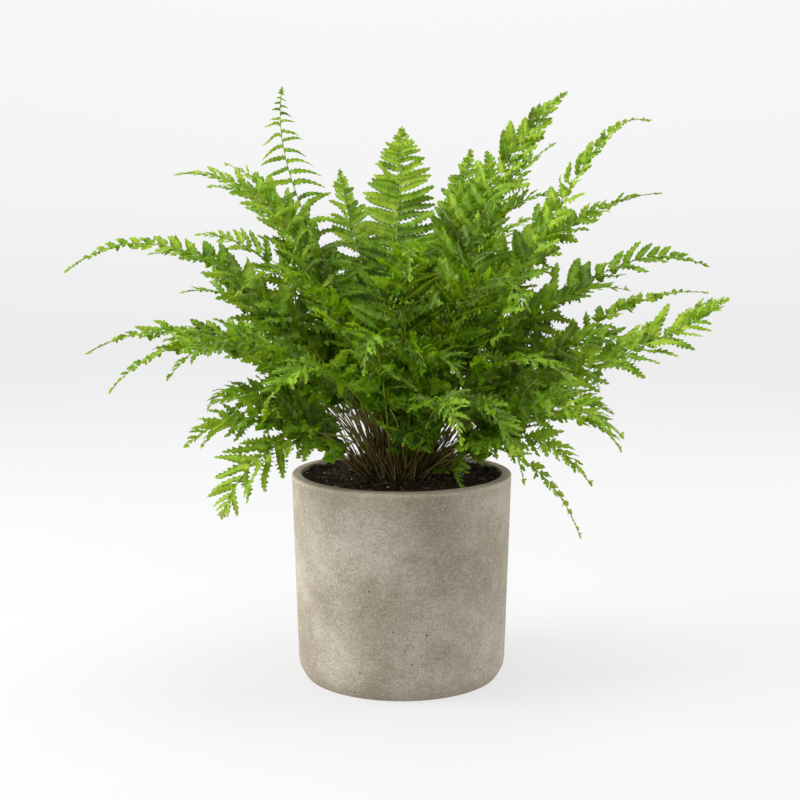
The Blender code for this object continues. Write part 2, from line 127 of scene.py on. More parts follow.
OUTLINE_FRONDS = (
    Frond((-129, -90, 142), 62, -74, width=38, roll=-20, droop=10, tilt=0, fullness=2.8, bare=0.42),
    Frond((-153, -100, 196), 46, -38, width=34, roll=-30),
    Frond((-140, -40, 218), 50, -30, width=34, roll=-35),
    Frond((-159, -130, 247), 58, -52, width=34, roll=-25),
    Frond((-205, -100, 234), 58, -52, width=34, roll=-20, fullness=1.3),
    Frond((-231, -50, 256), 54, -32, width=34, roll=-30, fullness=1.3),
    Frond((-252, -20, 314), 65, -40, width=34, roll=-35, fullness=1.3),
    Frond((-172, 20, 296), 58, -15, roll=-35),
    Frond((-200, 40, 325), 57, -12, width=33, roll=-25, fullness=1.8),
    Frond((-165, 60, 340), 64, -5, roll=-45),
    Frond((-179, 50, 387), 69, -10, roll=-35),
    Frond((-148, 120, 398), 70, 15, roll=-30),
    Frond((-92, 30, 453), 74, 100, roll=-75, tilt=22, droop=45, fullness=3, bare=0.4, lean=8, lean_gain=10),
    Frond((-50, 80, 392), 82, 80, width=34, roll=-5, droop=20, tilt=0, fullness=4, lean_gain=12),
    Frond((0, 70, 425), 84, 86, width=36, droop=10, tilt=0, fullness=5, lean_gain=10),
    Frond((56, 80, 408), 80, 74, width=30, roll=10, droop=20, tilt=0, fullness=4, lean_gain=12),
    Frond((126, 20, 449), 78, 40, width=38, roll=60, droop=25, fullness=3),
    Frond((183, -20, 425), 60, -25, width=34, roll=45, fullness=1.6, bend_at=0.82),
    Frond((160, 80, 352), 66, 0, roll=40),
    Frond((207, 60, 373), 63, 2, width=34, roll=35, fullness=1.5),
    Frond((240, 30, 316), 56, -24, width=36, roll=30),
    Frond((255, 100, 291), 46, -8, width=28, roll=25, fullness=1.2),
    Frond((187, -30, 262), 52, -20, roll=35),
    Frond((236, -60, 297), 49, 38, width=36, roll=35, fullness=5),
    Frond((149, 20, 221), 47, -24, roll=30),
    Frond((157, -40, 210), 46, -34, roll=35),
    Frond((151, -130, 207), 48, -37, roll=25),
    Frond((131, -120, 172), 50, -52, width=30, roll=20),
    Frond((128, -90, 128), 56, -70, width=16, roll=20, fullness=1.3),
    Frond((81, -160, 181), 62, -76, width=28),
    Frond((48, -62, 170), 30, -8, width=10, tilt=0, droop=5, bare=0.4),
    Frond((-180, -20, 262), 54, -25, roll=-30),
    Frond((112, 80, 412), 78, 30, width=34, roll=40),
    Frond((172, -10, 300), 58, -15, roll=35),
    Frond((-156, 70, 378), 66, -5, roll=-45),
    Frond((118, 0, 373), 70, 0, roll=40),
)

# Fans of alike fronds: count, first and last bearing, reach, height, launch, arrival and bare share
FANS = (
    (2, -172, -140, 160, 206, 42, -52, 0.25),
    (2, -35, 5, 165, 202, 42, -52, 0.22),
    (3, -108, -60, 105, 246, 70, -60, 0.3),
    (2, -140, -95, 178, 238, 64, -50, 0.36),
    (2, -85, -40, 185, 228, 60, -55, 0.2),
    (3, -150, -30, 155, 305, 71, -42, 0.22),
    (4, 25, 155, 215, 240, 56, -38, 0.25),
    (3, 35, 145, 190, 335, 68, -8, 0.25),
)
FAN_WIDTH = 38
FAN_REACH = (0.9, 1.1)
BEARING_SPREAD, HEIGHT_SPREAD, ARRIVE_SPREAD, ROLL_SPREAD = 6, 18, 12, 25
TILT_RANGE = (0, 24)


def unit(v):
    return v / np.linalg.norm(v, axis=-1, keepdims=True)


def slope(ahead, degrees):
    return ahead * math.cos(math.radians(degrees)) + np.array([0, 0, math.sin(math.radians(degrees))])


def rotated(v, axis, degrees):
    """v turned about a unit axis. Both may be rows of vectors, and the angle then a column."""
    c, s = np.cos(np.radians(degrees)), np.sin(np.radians(degrees))
    along = np.sum(axis * v, axis=-1, keepdims=True)
    return v * c + np.cross(axis, v) * s + axis * along * (1 - c)


def fan_fronds():
    draw = random.Random(FAN_SEED)

    def spread(most):
        return draw.uniform(-most, most)

    fronds = []
    for count, start, stop, reach, height, launch, arrive, bare in FANS:
        for i in range(count):
            bearing = math.radians(start + (stop - start) * (i + 0.5) / count + spread(BEARING_SPREAD))
            r = reach * draw.uniform(*FAN_REACH)
            tip = (r * math.cos(bearing), r * math.sin(bearing), height + spread(HEIGHT_SPREAD))
            arriving = arrive + spread(ARRIVE_SPREAD)
            turns = {"roll": spread(ROLL_SPREAD), "tilt": draw.uniform(*TILT_RANGE)}
            fronds.append(Frond(tip, launch, arriving, FAN_WIDTH, bare=bare, **turns))
    return fronds


def crown_slots(count):
    k = np.arange(count) + 0.5
    r = SLOT_RADIUS * np.sqrt(k / count)
    return np.stack([r * np.cos(k * GOLDEN_ANGLE), r * np.sin(k * GOLDEN_ANGLE)], axis=1)


def crown_top(x, y):
    share = min(1.0, math.hypot(x, y) / CROWN_RADIUS)
    return SOIL_TOP + CROWN_RISE * (1 - share * share)


def stalk_feet(fronds):
    free = [tuple(p) for p in crown_slots(len(fronds))]
    feet = {}
    for i in sorted(range(len(fronds)), key=lambda i: fronds[i].launch):
        outward = min(1.0, OUTER_SLOTS * math.cos(math.radians(fronds[i].launch)))
        wanted = unit(np.array(fronds[i].tip[:2])) * SLOT_RADIUS * outward
        place = min(free, key=lambda p: math.hypot(p[0] - wanted[0], p[1] - wanted[1]))
        free.remove(place)
        feet[i] = np.array([*place, crown_top(*place)])
    return [feet[i] for i in range(len(fronds))]


class Shape:
    """The line of a frond's stalk and rib, and where each leaflet lies along it, as in the solids."""

    SAMPLES = 80

    def __init__(self, frond, foot, turn=0.0, launch_shift=0.0):
        self.frond = frond
        up = np.array([0, 0, 1.0])
        tip = foot + rotated(np.array(frond.tip) * MM - foot, up, turn)
        ahead = unit((tip - foot) * (1, 1, 0))
        self.launch_way = slope(ahead, frond.launch + launch_shift)
        arc = math.radians(max(abs(frond.launch - frond.arrive), 5))
        pull = 4 / 3 * math.tan(arc / 4) / math.sin(arc / 2) * np.linalg.norm(tip - foot)
        leaving = foot + pull * frond.bend_at * self.launch_way
        arriving = tip - pull * (1 - frond.bend_at) * slope(ahead, frond.arrive)
        corners = (foot, leaving, arriving, tip)
        t = np.linspace(0, 1, self.SAMPLES)[:, None]
        weights = ((1 - t) ** 3, 3 * (1 - t) ** 2 * t, 3 * (1 - t) * t**2, t**3)
        self.line = sum(w * c for w, c in zip(weights, corners))
        self.run = np.concatenate([[0], np.cumsum(np.linalg.norm(np.diff(self.line, axis=0), axis=1))])
        self.length = self.run[-1]
        self.across = np.cross(up, ahead)

    def point(self, share):
        return np.array([np.interp(share * self.length, self.run, axis) for axis in self.line.T])

    def at(self, share):
        """Point, tangent, sideways and upper-face directions at a share of the whole length."""
        tangent = unit(self.point(min(share + 0.01, 1)) - self.point(max(share - 0.01, 0)))
        side = rotated(self.across, tangent, self.frond.roll)
        return self.point(share), tangent, side, np.cross(tangent, side)

    def share_of(self, u):
        return self.frond.bare + (1 - self.frond.bare) * u

    def leaflet_length(self, u):
        base = 1 - NARROWING * (1 - min(1.0, u / NARROW_TO))
        return self.frond.width * MM * base * (1 - max(u, 0) ** self.frond.fullness)

    def lean(self, u):
        return math.radians(self.frond.lean + self.frond.lean_gain * u)


def coarse_station(k):
    return 1 - (1 - k / (COARSE_PAIRS + 0.5)) ** COARSE_CROWDING


def coarse_tip(shape, k, hand, lift, size):
    """Where the tip of leaflet k of the solid lies, if it is lifted and shortened so."""
    u = (coarse_station(k) + coarse_station(k + 1)) / 2
    point, tangent, side, face = shape.at(shape.share_of(u))
    out = side * hand * math.cos(shape.lean(u)) + tangent * math.sin(shape.lean(u))
    bend = math.radians(max(shape.frond.droop, 1.0))
    start = math.radians(lift + START_SHARE * shape.frond.droop)
    x = (math.sin(start) - math.sin(start - bend)) / bend
    z = (math.cos(start - bend) - math.cos(start)) / bend
    return point + shape.leaflet_length(u) * size * (out * x + face * z + tangent * HOOK)


def tree_of(node):
    vertices = node.data.vertices
    tree = KDTree(len(vertices))
    for i, v in enumerate(vertices):
        tree.insert(v.co, i)
    tree.balance()
    return tree


def fitted_shape(frond, foot, node):
    """(shape, bends): the turn and the leaflets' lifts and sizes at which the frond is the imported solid."""
    tree = tree_of(node)

    def off(shape):
        far = 0
        for k in PROBES:
            share = shape.share_of(coarse_station(k))
            point, _, side, face = shape.at(share)
            half = STALK_HALF + (RIB_HALF - STALK_HALF) * share
            far = max(far, tree.find(point + (side + face) * half)[2])
        return far

    shapes = (Shape(frond, foot, turn, shift) for turn in TURNS for shift in LAUNCH_SHIFTS)
    shape = next(shape for shape in shapes if off(shape) < NEAR)
    bends = {}
    reach = BLADE_THICKNESS / 2 + NEAR
    for k in range(COARSE_PAIRS):
        for hand in (1, -1):
            tries = [(lift, size) for size in SIZES for lift in LIFTS]
            fits = (b for b in tries if tree.find(coarse_tip(shape, k, hand, *b))[2] < reach)
            bends[k, hand] = next(fits, (0, 1.0))
    return shape, bends


# One lobe's edge from its foot round to its foot again: the way along, the way out, and the rise.
LOBE_EDGE = (
    (0.0, 0.15, -0.6),
    (0.1, 0.6, -0.6),
    (0.42, 0.98, -0.2),
    (0.8, 1.1, 0.5),
    (0.86, 0.62, 0.7),
    (0.74, 0.15, 0.6),
)
FULL_FROM = 0.14  # the share of its length from which a leaflet has its whole width
FIRST_LOBE = 1.5  # how much larger the lobe next to the rib is, on the side of the frond's tip


@functools.cache
def pinna_outline(lobes, cut, blunt):
    """A leaflet flat and of unit length, with so many lobes a side, as arrays and a list of faces.

    Each point has its share t of the way out, its y in half widths towards the frond's tip, how far it
    stands up where lobes overlap like shingles, and its place within its lobe. cut is how deep the lobes
    are cut, from 0 to 1, and the higher blunt is, the longer the leaflet keeps its width.
    """
    step = 1 / lobes

    def envelope(t):
        swell = 0.75 + 0.25 * min(1, t / FULL_FROM)
        return swell * (1 - (max(t - FULL_FROM, 0) / (1 - FULL_FROM)) ** blunt)

    def sinus(t):
        return envelope(t) * (1 - cut * (0.8 - 0.3 * t))

    rows, faces = [], []
    for i in range(lobes):
        t = i * step
        w = sinus(t)
        rows += [(t, 0, 0, i), (t, w, 0, i), (t, -w, 0, i)]
    end = len(rows)
    rows.append((1, 0, 0, lobes))
    for i in range(lobes):
        a = 3 * i
        last = i == lobes - 1
        for hand, edge in ((1, 1), (-1, 2)):
            t = i * step
            first = len(rows)
            big = FIRST_LOBE if i == 0 and hand == 1 else 1.0
            for dt, share, z in LOBE_EDGE:
                if last and dt > 0.5:
                    break
                at = t + dt * step
                low, high = sinus(min(max(at, 0), 1)), envelope(min(max(at * 0.92, 0), 1)) * big
                rows.append((at, hand * (low + (high - low) * share), z, i + dt))
            made = list(range(first, len(rows)))
            if last:
                made_faces = [(a, end, *made[::-1], a + edge)]
            else:
                root = len(rows)
                rows.append((t, hand * sinus(t) * 0.9, -0.1, i))
                rows.append((t + step, hand * sinus(t + step) * 0.9, 0.1, i + 1))
                made_faces = [(a, a + 3, a + 3 + edge, a + edge)]
                made_faces += [(root, root + 1, made[5], made[0]), (made[0], made[5], made[4], made[1])]
                made_faces += [(made[1], made[4], made[3], made[2])]
            faces += made_faces if hand > 0 else [f[::-1] for f in made_faces]
    table = np.array(rows, float)
    return table[:, 0], table[:, 1], table[:, 2], table[:, 3], faces


class Blade:
    """Collects the points, faces and per-point values of one mesh of leaflets or stalks."""

    def __init__(self, seed):
        self.draw = np.random.default_rng(seed)
        self.points, self.leaf, self.tone, self.faces, self.slots = [], [], [], [], []
        self.count = 0

    def add(self, points, leaf, tone, faces, slot):
        self.points.append(points)
        self.leaf.append(leaf)
        self.tone.append(tone)
        first = self.count
        self.faces += [tuple(first + i for i in face) for face in faces]
        self.slots += [slot] * len(faces)
        self.count += len(points)


def tube(points, radii, sides, side, face):
    """(points, faces) of a tube along a line, with a closed end at the far side."""
    angles = np.arange(sides) * math.tau / sides
    ring = side[:, None] * np.cos(angles)[None, :, None] + face[:, None] * np.sin(angles)[None, :, None]
    shell = points[:, None] + ring * radii[:, None, None]
    n = len(points)
    faces = []
    for i in range(n - 1):
        for a in range(sides):
            b = (a + 1) % sides
            faces.append((i * sides + a, i * sides + b, (i + 1) * sides + b, (i + 1) * sides + a))
    faces.append(tuple(range((n - 1) * sides, n * sides)))
    faces.append(tuple(range(sides))[::-1])
    return shell.reshape(-1, 3), faces


def add_pinna(blade, point, out, forward, face, length, half, cut, bends, tone, hand, blunt=1.7, ruffle=0.4):
    """Adds a leaflet that leaves point along out, with forward towards the frond's tip and face up.

    bends is (lift, droop, twist at its foot, twist at its tip, hook), in degrees but for the hook.
    """
    lift, droop, foot_twist, tip_twist, hook = bends
    draw = blade.draw
    lobes = max(3, round(length / LOBE_SPACING))
    t, y, z, lobe, faces = pinna_outline(lobes, cut, blunt)
    bend = math.radians(droop if abs(droop) > 1 else 1)
    start = math.radians(lift + START_SHARE * droop)
    x = (math.sin(start) - np.sin(start - bend * t)) / bend
    up = (np.cos(start - bend * t) - math.cos(start)) / bend
    curl = draw.normal(0, 0.045) * np.sin(math.tau * t * draw.uniform(0.6, 1.1))
    along, rising, ahead = x[:, None], up[:, None], (hook * t * t + curl)[:, None]
    spine = point + length * (along * out + rising * face + ahead * forward)
    pitch = start - bend * t
    way = unit(np.cos(pitch)[:, None] * out + np.sin(pitch)[:, None] * face)
    edge = unit(forward - way * (way @ forward)[:, None])
    twist = (hand * foot_twist + tip_twist * t)[:, None]
    top = rotated(np.cross(edge, way) * hand, way, twist)
    edge = rotated(edge, way, twist)
    fold, shingle = draw.uniform(-0.2, 0.6), draw.uniform(0.2, 0.8)
    ruffles = draw.normal(0, ruffle, 2 * lobes + 3)
    wave = np.interp(lobe * np.sign(y), np.arange(2 * lobes + 3) - lobes - 1, ruffles)
    rise = fold * np.abs(y) - 0.32 * y * y + shingle * z * np.abs(y) + wave * np.abs(y)
    points = spine + edge * (y * half)[:, None] + top * (rise * half)[:, None]
    leaf = np.stack([lobe, np.abs(y), t], axis=1)
    shade = np.tile(tone, (len(t), 1))
    # the tone's first part rises towards the leaflet's tip: lighter tips, and painted shade at the leaflet's
    # foot by the rib
    shade[:, 0] = np.clip(tone[0] + 0.25 * t, 0, 1)
    blade.add(points, leaf, shade, faces if hand > 0 else [f[::-1] for f in faces], 0)


def stations(pairs):
    k = np.arange(pairs + 1)
    return 1 - (1 - k / (pairs + 0.5)) ** CROWDING


@dataclass
class Leafing:
    """How a frond's fine leaflets differ from the usual: lengths as shares, angles in degrees."""

    spacing: float = 1.0
    fill: float = 1.0
    cut: float = 1.0
    blunt: float = 1.7
    twist: float = 26  # the spread of the twist at a leaflet's foot
    stray: float = 10  # the spread of the lean
    ruffle: float = 0.45
    fold: float = 8  # how far leaflets are lifted from the blade's face
    lean: float = 0.0
    hook: float = 1.0
    fresh: float = 0.0  # added to the tone, towards that of young growth
    early: float = 0.0  # how far below the solid's first leaflets these start
    press: float = 40  # how far the leaflets at the blade's tip turn along its rib


# What the flat, regular fronds that stand upright in the middle share
UPRIGHT = {"cut": 0.7, "stray": 3, "ruffle": 0.2, "fold": 0, "hook": 0.4, "press": 0}
# The fronds with leaflets of their own kind, by number
LEAFING = {
    1: Leafing(fill=0.8, cut=0.8, blunt=2.2, twist=5, stray=3, ruffle=0.25, fresh=0.3, press=12),
    7: Leafing(spacing=1.15, fill=0.74, cut=0.7, blunt=2.4, twist=12, stray=5, press=24),
    13: Leafing(fill=0.37, cut=0.6, twist=8, stray=5, ruffle=0.2, lean=-4, hook=-3.4, fresh=0.48, press=4),
    14: Leafing(spacing=0.72, blunt=2.6, twist=8, lean=-8, **UPRIGHT),
    15: Leafing(spacing=0.66, blunt=3.0, twist=7, lean=-9, fresh=0.03, **UPRIGHT),
    16: Leafing(spacing=0.72, blunt=2.6, twist=8, lean=-8, **UPRIGHT),
    17: Leafing(fill=1.15, blunt=2.6, twist=16, stray=6, press=14),
    18: Leafing(fresh=0.25, press=30),
    21: Leafing(spacing=1.15, fill=0.74, cut=0.7, blunt=2.4, twist=12, stray=5, press=18),
    24: Leafing(twist=12, stray=5, press=8),
    31: Leafing(spacing=0.6, fill=1.2, twist=3, stray=3, ruffle=0.2, early=0.35, fresh=-0.25, press=10),
}
# The branches of fronds, by number: where each leaves the frond's line, as a share, and its own line
BRANCHES = {31: [(0.62, Frond((46, -55, 157), 8, -14, width=7, tilt=0, droop=5, bare=0.06))]}
END_SHARE = 0.025  # the share of the blade that its end leaflet takes
END_HALF = 1.7 * MM
EARLY = 0.1  # how far below the solid's first leaflets those of a fan's frond start, as a share of its blade


def add_leaflets(blade, shape, bends, leafing, age):
    """Adds a frond's leaflets, spread evenly between the solid's and bent as those are."""
    frond, draw = shape.frond, blade.draw
    length = shape.length * (1 - frond.bare)
    pairs = max(LEAST_PAIRS, round(length / (PINNA_SPACING * leafing.spacing)))
    ways = stations(pairs)
    middles = [(coarse_station(j) + coarse_station(j + 1)) / 2 for j in range(COARSE_PAIRS)]
    for k in range(pairs):
        step = ways[k + 1] - ways[k]
        for hand in (1, -1):
            shift = (RIGHT_SHIFT if hand > 0 else LEFT_SHIFT) + draw.uniform(-0.1, 0.1)
            u = float(np.clip((ways[k] + ways[k + 1]) / 2 + shift * step, 0.002, 0.99))
            u = u * (1 + leafing.early) - leafing.early
            at = np.interp(u, middles, range(COARSE_PAIRS))
            low, high = int(at), min(int(at) + 1, COARSE_PAIRS - 1)
            under, over = np.array(bends[low, hand]), np.array(bends[high, hand])
            lift, size = under * (1 - at + low) + over * (at - low)
            point, tangent, side, face = shape.at(shape.share_of(u))
            tail = max(u, 0) ** 3
            calm = 1 - 0.7 * tail
            astray = leafing.lean + calm * draw.normal(0, leafing.stray) + leafing.press * tail
            lean = shape.lean(u) + math.radians(astray)
            out = side * hand * math.cos(lean) + tangent * math.sin(lean)
            reach = max(shape.leaflet_length(u) * size * draw.uniform(*REACH_RANGE), TAIL_REACH)
            half = 0.5 * PINNA_FILL * leafing.fill * step * length * math.cos(lean)
            half *= draw.uniform(*WIDTH_RANGE)
            widest = WIDEST_HALF * (FOOT_WIDEST - WIDEST_FALL * u) * reach + LEAST_HALF
            half = min(half * (FOOT_FILL - FILL_FALL * u), widest)
            droop = frond.droop * draw.uniform(*DROOP_RANGE)
            twists = (frond.tilt + calm * draw.normal(0, leafing.twist), calm * draw.normal(0, TWIST_SPREAD))
            hook = HOOK * leafing.hook * draw.uniform(*HOOK_RANGE)
            curves = (lift + draw.normal(leafing.fold, LIFT_SPREAD), droop, *twists, hook)
            tone = (0.05 + leafing.fresh + 0.42 * max(u, 0) ** 2, draw.uniform(0, 1), age)
            cut = round((1.0 - 0.55 * u) * leafing.cut, 1)
            blunt = round(leafing.blunt + tail, 1)
            form = (reach, half, cut, curves, tone, hand, blunt, calm * leafing.ruffle)
            add_pinna(blade, point, out, tangent, face, *form)
    point, tangent, side, face = shape.at(shape.share_of(1 - END_SHARE))
    end = END_SHARE * length + 1.5 * MM
    add_pinna(blade, point, tangent, side, face, end, END_HALF, 0.5, (0, 4, 0, 0, 0), (0.8, 0.5, age), 1)


def add_rib(blade, shape, thickness, sunk, age):
    """Adds a frond's stalk and rib as one tapering tube, sunk so far into what it grows from."""
    shares = np.linspace(0, 1, 44)
    rings = [shape.at(share) for share in shares]
    points = np.array([rings[0][0] - shape.launch_way * sunk, *(r[0] for r in rings)])
    side = np.array([rings[0][2], *(r[2] for r in rings)])
    face = np.array([rings[0][3], *(r[3] for r in rings)])
    shares = np.concatenate([[0], shares])
    radii = (STALK_RADIUS + (TIP_RADIUS - STALK_RADIUS) * shares**0.8) * thickness
    shell, faces = tube(points, radii, STALK_SIDES, side, face)
    along = np.repeat(shares, STALK_SIDES)
    leaf = np.stack([along, np.zeros_like(along), np.zeros_like(along)], axis=1)
    shade = np.tile((shape.frond.bare, blade.draw.uniform(0, 1), age), (len(along), 1))
    blade.add(shell, leaf, shade, faces, 1)


def fine_frond(name, shape, bends, materials, seed, leafing, branches):
    blade = Blade(seed)
    age = blade.draw.uniform(0, 1)
    add_leaflets(blade, shape, bends, leafing, age)
    add_rib(blade, shape, 1.0, HOLE_DEPTH * 0.6, age)
    straight = {(k, hand): (0, 1.0) for k in range(COARSE_PAIRS) for hand in (1, -1)}
    for start, frond in branches:
        branch = Shape(frond, shape.point(start))
        add_leaflets(blade, branch, straight, leafing, age)
        add_rib(blade, branch, 0.6, 0, age)
    return finish_frond(name, blade, materials)


@dataclass
class OldStalks:
    """Bare stalks of former fronds: where they end, how thick they are, and how much they bend sideways."""

    name: str
    count: int
    seed: int
    ends: tuple
    thickness: tuple
    bent: float


OLD_STALKS = (
    OldStalks("old_stalks", 90, OLD_SEED, (0.3, 0.55), (0.5, 0.85), 0.04),
    OldStalks("stalk_stubs", 340, OLD_SEED + 1, (0.06, 0.24), (0.5, 1.1), 0.15),
)


def old_stalks(kind, shapes, material):
    """One mesh of stalks that stand among the fronds' and follow them, each turned a little."""
    draw = np.random.default_rng(kind.seed)
    blade = Blade(kind.seed)
    up = np.array([0, 0, 1.0])
    for _ in range(kind.count):
        shape = shapes[draw.integers(len(shapes))]
        angle = draw.uniform(8, 40) * draw.choice([-1, 1])
        shares = np.linspace(0, draw.uniform(*kind.ends), 14)
        line = np.array([rotated(shape.point(share), up, angle) for share in shares])
        inward = draw.uniform(0.75, 1.02)
        line *= (inward, inward, 1)
        line += up * (draw.uniform(-0.02, 0.06) * shares[:, None])
        line[0] -= shape.launch_way * HOLE_DEPTH * 0.5
        side = np.tile(rotated(shape.across, up, angle), (len(line), 1))
        line += side * (kind.bent * draw.normal(0, 1) * shares[:, None] ** 2)
        radii = np.linspace(0.8, 0.5, len(line)) * MM * draw.uniform(*kind.thickness)
        shell, faces = tube(line, radii, 5, side, np.cross(unit(line[-1] - line[0]), side))
        along = np.repeat(shares, 5)
        leaf = np.stack([along, np.zeros_like(along), np.zeros_like(along)], axis=1)
        shade = np.tile((0.5, draw.uniform(0, 1), 1.0), (len(along), 1))
        blade.add(shell, leaf, shade, faces, 0)
    return finish_frond(kind.name, blade, [material])


def finish_frond(name, blade, materials):
    mesh = bpy.data.meshes.new(name)
    mesh.from_pydata(np.vstack(blade.points).tolist(), [], blade.faces)
    mesh.polygons.foreach_set("material_index", blade.slots)
    for label, values in (("leaf", blade.leaf), ("tone", blade.tone)):
        attribute = mesh.attributes.new(label, "FLOAT_VECTOR", "POINT")
        attribute.data.foreach_set("vector", np.vstack(values).astype(np.float32).ravel())
    for material in materials:
        mesh.materials.append(material)
    mesh.polygons.foreach_set("use_smooth", [slot == 1 for slot in blade.slots])
    mesh.update()
    obj = bpy.data.objects.new(name, mesh)
    bpy.context.scene.collection.objects.link(obj)
    return obj


class Nodes:
    """A material, with its nodes added by plain calls."""

    def __init__(self, name):
        self.material = bpy.data.materials.new(name)
        self.material.use_nodes = True
        self.tree = self.material.node_tree
        self.shader = self.tree.nodes["Principled BSDF"]
        self.end = self.tree.nodes["Material Output"]

    def feed(self, socket, value):
        if isinstance(value, bpy.types.NodeSocket):
            self.tree.links.new(value, socket)
        else:
            socket.default_value = value

    def add(self, kind, inputs, output=0, **settings):
        node = self.tree.nodes.new("ShaderNode" + kind)
        for key, value in settings.items():
            setattr(node, key, value)
        for key, value in inputs.items():
            self.feed(node.inputs[key], value)
        return node.outputs[output]

    def place(self):
        return self.add("TexCoord", {}, "Object")

    def parts(self, attribute):
        vector = self.add("Attribute", {}, "Vector", attribute_name=attribute)
        split = self.tree.nodes.new("ShaderNodeSeparateXYZ")
        self.feed(split.inputs[0], vector)
        return split.outputs[0], split.outputs[1], split.outputs[2]

    def math(self, operation, a, b=0.0, c=0.0, clamp=False):
        return self.add("Math", {0: a, 1: b, 2: c}, operation=operation, use_clamp=clamp)

    def ramp(self, value, stops):
        node = self.tree.nodes.new("ShaderNodeValToRGB")
        elements = node.color_ramp.elements
        while len(elements) < len(stops):
            elements.new(0.5)
        for element, (at, colour) in zip(elements, stops):
            element.position = at
            element.color = (*colour, 1) if isinstance(colour, tuple) else (colour, colour, colour, 1)
        self.feed(node.inputs[0], value)
        return node.outputs[0]

    def mix(self, factor, a, b):
        a, b = ((*c, 1) if isinstance(c, tuple) else c for c in (a, b))
        return self.add("Mix", {0: factor, 6: a, 7: b}, 2, data_type="RGBA")

    def noise(self, scale, detail=3.0, roughness=0.5, vector=None, distortion=0.0):
        inputs = {"Scale": scale, "Detail": detail, "Roughness": roughness, "Distortion": distortion}
        return self.add("TexNoise", {**inputs, "Vector": vector or self.place()})

    def voronoi(self, scale, output="Distance"):
        return self.add("TexVoronoi", {"Scale": scale, "Vector": self.place()}, output)

    def bump(self, height, strength, distance):
        return self.add("Bump", {"Height": height, "Strength": strength, "Distance": distance})

    def set(self, **inputs):
        for key, value in inputs.items():
            self.feed(self.shader.inputs[key.replace("_", " ")], value)


DEEP = (0.007, 0.036, 0.0003)
LEAF = (0.108, 0.29, 0.001)
FRESH = (0.36, 0.5, 0.028)
UNDERSIDE = (0.18, 0.28, 0.05)


def fern_material():
    m = Nodes("fern_green")
    lobe, across, _ = m.parts("leaf")
    young, pick, age = m.parts("tone")
    mottle = m.noise(70, 3, 0.55)
    fine = m.noise(420, 2, 0.6)
    spot = m.math("ADD", m.math("FLOOR", m.math("MAXIMUM", lobe, 0)), m.math("MULTIPLY", pick, 57))
    lot = m.add("TexWhiteNoise", {"W": spot}, "Value", noise_dimensions="1D")
    # painted light and shade: leaves far from a point in the clump's middle are made lighter, those near it
    # darker
    centre = m.add("VectorMath", {0: m.place(), 1: (0, -0.06, 0.26)}, "Value", operation="DISTANCE")
    painted_outer_light = m.ramp(m.math("MULTIPLY", centre, 3), ((0.22, 0.0), (0.6, 1.0)))
    # young holds lighter young growth towards the frond's tip, and painted shade at each leaflet's foot
    mood = m.math("MULTIPLY_ADD", young, 0.34, m.math("MULTIPLY", pick, 0.8))
    mood = m.math("ADD", mood, m.math("MULTIPLY_ADD", painted_outer_light, 0.42, -0.51))
    # painted light: leaves low down and far out are made lighter still
    low = m.ramp(m.math("MULTIPLY", m.add("SeparateXYZ", {0: m.place()}, 2), 2), ((0.32, 0.6), (0.52, 0.0)))
    mood = m.math("ADD", mood, m.math("MULTIPLY", low, painted_outer_light))
    mood = m.math("ADD", mood, m.math("MULTIPLY", age, 0.3))
    mood = m.math("ADD", mood, m.math("MULTIPLY_ADD", lot, 0.6, -0.3))
    mood = m.math("ADD", mood, m.math("MULTIPLY_ADD", mottle, 0.7, -0.35), clamp=True)
    colour = m.ramp(mood, ((0.0, DEEP), (0.42, LEAF), (1.0, FRESH)))
    rib = m.ramp(across, ((0.0, 1.0), (0.1, 0.0)))
    colour = m.mix(m.math("MULTIPLY", rib, 0.5), colour, (0.34, 0.48, 0.06))
    crease = m.math("FRACT", m.math("SUBTRACT", lobe, m.math("MULTIPLY", across, 0.35)))
    vein = m.ramp(m.math("ABSOLUTE", m.math("SUBTRACT", crease, 0.35)), ((0.0, 1.0), (0.12, 0.0)))
    colour = m.mix(m.math("MULTIPLY", vein, 0.16), colour, (0.28, 0.44, 0.03))
    colour = m.mix(m.math("MULTIPLY", fine, 0.2), colour, (0.05, 0.11, 0.003))
    back = m.add("NewGeometry", {}, "Backfacing")
    shown = m.mix(m.math("MULTIPLY", back, 0.35), colour, UNDERSIDE)
    height = m.math("ADD", m.math("MULTIPLY", vein, -0.6), m.math("MULTIPLY", fine, 0.5))
    normal = m.bump(height, 0.35, 0.3 * MM)
    m.set(Base_Color=shown, Roughness=0.34, Normal=normal)
    m.shader.inputs["Specular IOR Level"].default_value = 0.08
    glow = m.mix(0.5, colour, (0.36, 0.5, 0.005))
    through = m.add("BsdfTranslucent", {"Color": glow, "Normal": normal})
    both = m.add("MixShader", {0: 0.28, 1: m.shader.outputs[0], 2: through})
    m.feed(m.end.inputs["Surface"], both)
    return m.material


def stalk_material():
    m = Nodes("fern_stalk")
    along, _, _ = m.parts("leaf")
    bare, pick, age = m.parts("tone")
    streaks = m.noise(260, 3, 0.6)
    at = m.math("DIVIDE", along, m.math("ADD", bare, 0.12))
    at = m.math("ADD", at, m.math("MULTIPLY_ADD", pick, 0.3, -0.15))
    base, low = (0.03, 0.015, 0.005), (0.14, 0.11, 0.012)
    high, green = (0.28, 0.28, 0.022), (0.22, 0.34, 0.02)
    colour = m.ramp(at, ((0.0, base), (0.25, low), (0.7, high), (1.0, green)))
    straw = m.ramp(pick, ((0.55, 0.0), (0.95, 0.6)))
    colour = m.mix(m.math("MULTIPLY", straw, age), colour, (0.36, 0.27, 0.11))
    colour = m.mix(m.ramp(streaks, ((0.4, 0.0), (0.7, 0.7))), colour, (0.07, 0.045, 0.012))
    m.set(Base_Color=colour, Roughness=0.5, Normal=m.bump(streaks, 0.4, 0.2 * MM))
    return m.material


